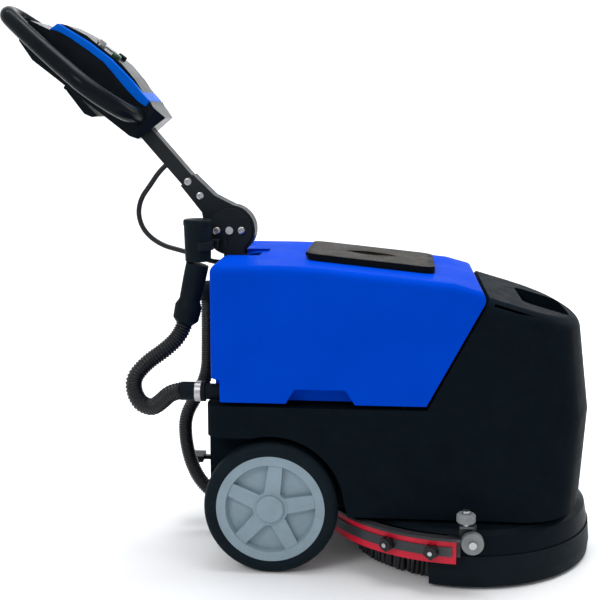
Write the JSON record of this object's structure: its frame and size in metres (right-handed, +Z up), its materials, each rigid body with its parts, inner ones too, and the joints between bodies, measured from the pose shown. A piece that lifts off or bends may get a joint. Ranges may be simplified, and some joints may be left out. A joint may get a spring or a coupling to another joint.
{
  "type": "floor scrubber",
  "caption": "Walk-behind wet and dry floor scrubber: blue recovery tank on a black shell, disc brush deck, curved squeegee, big rear wheels and a folding handle",
  "frame": {"origin": "on the floor at the middle of the machine's footprint", "axes": "+X forward to the brush deck, +Y to the machine's left, +Z up"},
  "size_m": [1.1552, 0.5786, 1.0509],
  "materials": {
    "black_moulding": "satin rotationally moulded black polyethylene",
    "blue_moulding": "satin rotationally moulded blue polyethylene",
    "smoked_lid": "smoked brown-grey plastic with a satin face",
    "tyre_rubber": "smooth greenish-black solid rubber",
    "grey_rim": "light blue-grey satin plastic",
    "black_metal": "black powder coat",
    "steel": "plain steel",
    "bearing_steel": "ground steel",
    "battery_case": "battery case with lead posts",
    "motor_housing": "dark grey paint",
    "valve_body": "brass valve with coil",
    "controller_case": "cast aluminium box",
    "deck_plastic": "black moulded deck",
    "black_rubber": "black rubber",
    "red_rubber": "red squeegee rubber",
    "squeegee_metal": "dark grey powder coat",
    "strip_grey": "dark grey strip",
    "knob_plastic": "black knob plastic",
    "roller_grey": "light grey roller rubber",
    "bristle_fibre": "black nylon bristles",
    "hose_black": "black corrugated hose",
    "gloss_black": "glossy black plastic",
    "gloss_blue": "glossy blue plastic",
    "display_glass": "dark display window",
    "key_metal": "chrome-plated key switch",
    "button_green": "green push button",
    "float_white": "white float"
  },
  "bodies": {
    "chassis": {"chassis_frame": "black_metal", "axle": "steel", "wheel_bearings": "bearing_steel", "mast": "black_metal", "cheek_plates": "black_metal", "pivot_bolt": "steel", "cheek_screws": "steel", "hose_clip": "black_metal", "body_shell": "black_moulding", "batteries": "battery_case", "vacuum_motor": "motor_housing", "brush_motor": "motor_housing", "solenoid_valve": "valve_body", "motor_controller": "controller_case", "deck_housing": "deck_plastic", "deck_skirt": "black_rubber", "suction_hose": "hose_black"},
    "wheel_left": {"tyre_left": "tyre_rubber", "rim_left": "grey_rim"},
    "wheel_right": {"tyre_right": "tyre_rubber", "rim_right": "grey_rim"},
    "brush": {"drive_hub": "steel", "brush_plate": "deck_plastic", "bristles": "bristle_fibre"},
    "squeegee": {"squeegee_carrier": "squeegee_metal", "front_blade": "red_rubber", "rear_blade": "red_rubber", "clamp_strip": "strip_grey", "star_knobs": "knob_plastic", "squeegee_bolts": "steel", "hose_nozzle": "black_rubber"},
    "support_wheel_right": {"support_wheel_right": "roller_grey"},
    "support_wheel_left": {"support_wheel_left": "roller_grey"},
    "bumper_roller_right": {"bumper_roller_right": "roller_grey"},
    "bumper_roller_left": {"bumper_roller_left": "roller_grey"},
    "pedal": {"lift_pedal": "black_metal"},
    "float": {"float_valve": "float_white"},
    "recovery_tank": {"recovery_tank": "blue_moulding", "inlet_elbow": "black_rubber", "drain_fitting": "black_rubber", "hose_clamp": "steel", "drain_hose_end": "black_rubber", "drain_hose": "hose_black", "drain_cuff": "black_rubber"},
    "lid": {"recovery_lid": "smoked_lid"},
    "drain_cap": {"drain_cap": "black_rubber"},
    "fill_cap": {"fill_cap": "black_moulding"},
    "handle": {"hinge_casting": "black_metal", "handle_tube": "black_metal", "tube_bolts": "steel", "console_shell": "gloss_black", "blue_trim": "gloss_blue", "console_panel": "gloss_black", "hoop_grip": "gloss_black", "battery_display": "display_glass", "handle_cable": "hose_black"},
    "run_lever": {"run_lever": "gloss_black"},
    "key": {"key_switch": "key_metal"},
    "button_right": {"push_button_right": "button_green"},
    "button_left": {"push_button_left": "black_rubber"}
  },
  "joints": [
    {"name": "wheel_left_spin", "type": "hinge", "parent": "chassis", "child": "wheel_left", "pos_m": [-0.03535, 0.19, 0.125], "axis": [0, 1, 0], "continuous": true},
    {"name": "wheel_right_spin", "type": "hinge", "parent": "chassis", "child": "wheel_right", "pos_m": [-0.03535, -0.19, 0.125], "axis": [0, 1, 0], "continuous": true},
    {"name": "brush_spin", "type": "hinge", "parent": "chassis", "child": "brush", "pos_m": [0.32265, 0, 0.06], "axis": [0, 0, 1], "continuous": true},
    {"name": "squeegee_lower", "type": "slide", "parent": "chassis", "child": "squeegee", "axis": [0, 0, -1], "range_m": [0, 0.057]},
    {"name": "support_wheel_right_spin", "type": "hinge", "parent": "squeegee", "child": "support_wheel_right", "pos_m": [0.33165, -0.271, 0.096], "axis": [0, 1, 0], "continuous": true},
    {"name": "support_wheel_left_spin", "type": "hinge", "parent": "squeegee", "child": "support_wheel_left", "pos_m": [0.33165, 0.271, 0.096], "axis": [0, 1, 0], "continuous": true},
    {"name": "bumper_roller_right_spin", "type": "hinge", "parent": "squeegee", "child": "bumper_roller_right", "pos_m": [0.31965, -0.268, 0.141], "axis": [0, 0, 1], "continuous": true},
    {"name": "bumper_roller_left_spin", "type": "hinge", "parent": "squeegee", "child": "bumper_roller_left", "pos_m": [0.31965, 0.268, 0.141], "axis": [0, 0, 1], "continuous": true},
    {"name": "lift_pedal_turn", "type": "hinge", "parent": "chassis", "child": "pedal", "pos_m": [-0.16135, 0.076, 0.13], "axis": [0, 1, 0], "range_deg": [0, 25]},
    {"name": "recovery_tank_lift", "type": "slide", "parent": "chassis", "child": "recovery_tank", "axis": [0, 0, 1], "range_m": [0, 0.1]},
    {"name": "lid_hinge", "type": "hinge", "parent": "recovery_tank", "child": "lid", "pos_m": [0.02265, 0, 0.58217], "axis": [0, -1, 0], "range_deg": [0, 95]},
    {"name": "float_rise", "type": "slide", "parent": "recovery_tank", "child": "float", "axis": [0, 0, 1], "range_m": [0, 0.02]},
    {"name": "drain_cap_pull", "type": "slide", "parent": "recovery_tank", "child": "drain_cap", "axis": [0, 0, 1], "range_m": [0, 0.05]},
    {"name": "fill_cap_lift", "type": "slide", "parent": "chassis", "child": "fill_cap", "axis": [0, 0, 1], "range_m": [0, 0.05]},
    {"name": "handle_fold", "type": "hinge", "parent": "chassis", "child": "handle", "pos_m": [-0.13335, 0, 0.622], "axis": [0, -1, 0], "range_deg": [-110, 0]},
    {"name": "run_lever_squeeze", "type": "hinge", "parent": "handle", "child": "run_lever", "pos_m": [-0.44597, 0, 0.89497], "axis": [0, -1, 0], "range_deg": [0, 6.5], "stiffness_Nm_per_rad": 2, "springref_deg": -8.59},
    {"name": "key_turn", "type": "hinge", "parent": "handle", "child": "key", "pos_m": [-0.37859, -0.022, 0.97442], "axis": [-0.6018, 0, -0.7986], "range_deg": [0, 90]},
    {"name": "button_right_press", "type": "slide", "parent": "handle", "child": "button_right", "axis": [-0.6018, 0, -0.7986], "range_m": [0, 0.002], "stiffness_N_per_m": 400, "springref_m": -0.002},
    {"name": "button_left_press", "type": "slide", "parent": "handle", "child": "button_left", "axis": [-0.6018, 0, -0.7986], "range_m": [0, 0.002], "stiffness_N_per_m": 400, "springref_m": -0.002}
  ],
  "couplings": [
    {"joint": "lift_pedal_turn", "follows": "squeegee_lower", "rad_per_m": 7.65}
  ]
}
